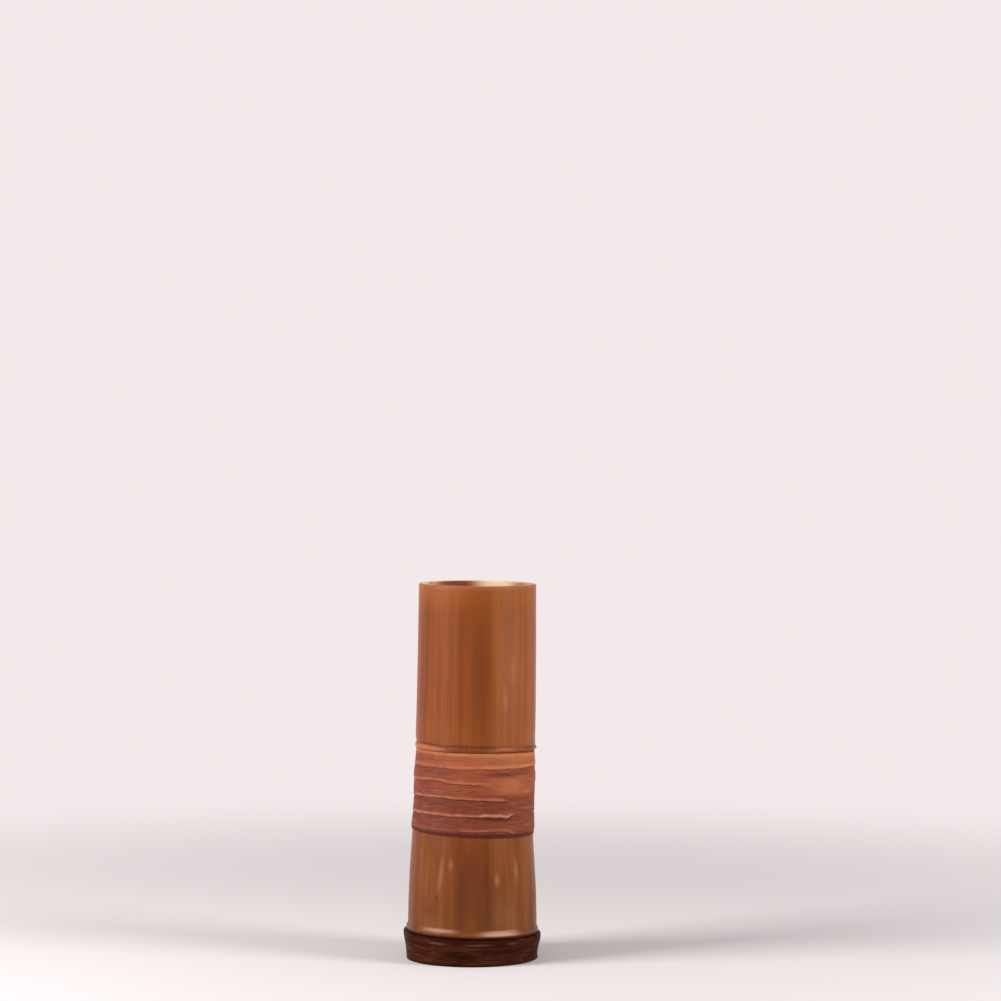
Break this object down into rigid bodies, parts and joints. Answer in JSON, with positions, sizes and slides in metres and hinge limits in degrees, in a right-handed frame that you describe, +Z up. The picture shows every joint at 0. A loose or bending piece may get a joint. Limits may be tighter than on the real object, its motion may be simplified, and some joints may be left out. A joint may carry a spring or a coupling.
{
  "type": "bamboo vase",
  "caption": "Slim bamboo vase: a lacquered culm with its node, a wound bark band below it and a dark turned foot, open at the rim for stems.",
  "frame": {"origin": "centre of the foot's underside, on the table", "axes": "+Z up; -Y is the front that the picture shows; the culm leans 0.9 degrees towards +X"},
  "size_m": [0.0736, 0.0736, 0.2005],
  "materials": {
    "bamboo": "satin lacquer over warm brown bamboo",
    "bark": "matte fibrous bark strip, orange brown to red brown",
    "dark_wood": "glossy dark brown stain"
  },
  "bodies": {
    "root": {"culm": "bamboo", "bark_wrap": "bark", "foot": "dark_wood"}
  },
  "joints": []
}
